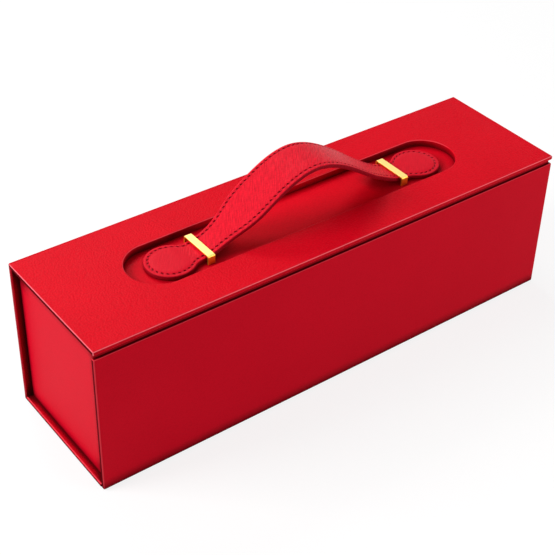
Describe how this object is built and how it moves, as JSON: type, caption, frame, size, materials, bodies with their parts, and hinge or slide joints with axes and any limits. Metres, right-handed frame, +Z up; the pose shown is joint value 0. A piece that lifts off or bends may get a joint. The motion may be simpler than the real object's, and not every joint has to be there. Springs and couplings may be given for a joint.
{
  "type": "magnetic wine box",
  "caption": "Long book-style rigid gift box with a hinged lid, a magnetic front flap, and a sewn leather strap handle in a recess in the lid.",
  "frame": {"origin": "centre of the box's underside, where it stands on a table", "axes": "+X along the length, +Y from the front flap to the hinged back, +Z up"},
  "size_m": [0.35, 0.097, 0.1411],
  "materials": {
    "greyboard": "raw grey board",
    "red_covering_paper": "satin, smooth",
    "red_grained_paper": "satin, fine leather grain",
    "red_lining_paper": "matt",
    "red_leather": "satin, fine cross grain",
    "gold_metal": "polished",
    "steel": "plain",
    "nickel_plated_magnet": "nickel plated"
  },
  "bodies": {
    "base": {"base_board": "greyboard", "base_cover": "red_covering_paper", "spine_board": "greyboard", "spine_cover": "red_covering_paper", "tray_bottom_board": "greyboard", "tray_front_board": "greyboard", "tray_back_board": "greyboard", "tray_left_end_board": "greyboard", "tray_right_end_board": "greyboard", "tray_wrap": "red_covering_paper", "tray_lining": "red_lining_paper", "left_striker_disc": "steel", "right_striker_disc": "steel", "lid_hinge_paper": "red_covering_paper"},
    "lid": {"lid_board": "greyboard", "lid_cover": "red_grained_paper", "recess_spacer_board": "greyboard", "recess_floor_board": "greyboard", "recess_floor_paper": "red_covering_paper", "pad_backing_board": "greyboard", "pad_cover": "red_lining_paper", "left_bracket": "gold_metal", "right_bracket": "gold_metal", "left_bracket_plate": "steel", "right_bracket_plate": "steel", "flap_hinge_paper": "red_covering_paper"},
    "flap": {"flap_board": "greyboard", "flap_cover": "red_covering_paper", "flap_liner": "red_lining_paper", "left_flap_magnet": "nickel_plated_magnet", "right_flap_magnet": "nickel_plated_magnet"},
    "handle_bow": {"strap_upper_leather": "red_leather", "strap_lower_leather": "red_leather"},
    "left_tab": {"left_tab_upper_leather": "red_leather", "left_tab_lower_leather": "red_leather"},
    "right_tab": {"right_tab_upper_leather": "red_leather", "right_tab_lower_leather": "red_leather"}
  },
  "joints": [
    {"name": "lid_hinge", "type": "hinge", "parent": "base", "child": "lid", "pos_m": [0, 0.0482, 0.1042], "axis": [-1, 0, 0], "range_deg": [0, 180], "deforming": ["lid_hinge_paper"]},
    {"name": "flap_hinge", "type": "hinge", "parent": "lid", "child": "flap", "pos_m": [0, -0.04765, 0.10365], "axis": [-1, 0, 0], "range_deg": [0, 150], "deforming": ["flap_hinge_paper"]},
    {"name": "handle_press", "type": "slide", "parent": "lid", "child": "handle_bow", "axis": [0, 0, -1], "range_m": [0, 0.0385], "deforming": ["strap_upper_leather", "strap_lower_leather"]},
    {"name": "left_tab_slide", "type": "slide", "parent": "handle_bow", "child": "left_tab", "axis": [-0.2514, 0, 0.9679], "range_m": [0, 0.03979]},
    {"name": "right_tab_slide", "type": "slide", "parent": "handle_bow", "child": "right_tab", "axis": [0.2514, 0, 0.9679], "range_m": [0, 0.03979]}
  ],
  "couplings": [
    {"joint": "left_tab_slide", "follows": "handle_press", "ratio": 1.0332},
    {"joint": "right_tab_slide", "follows": "handle_press", "ratio": 1.0332}
  ]
}
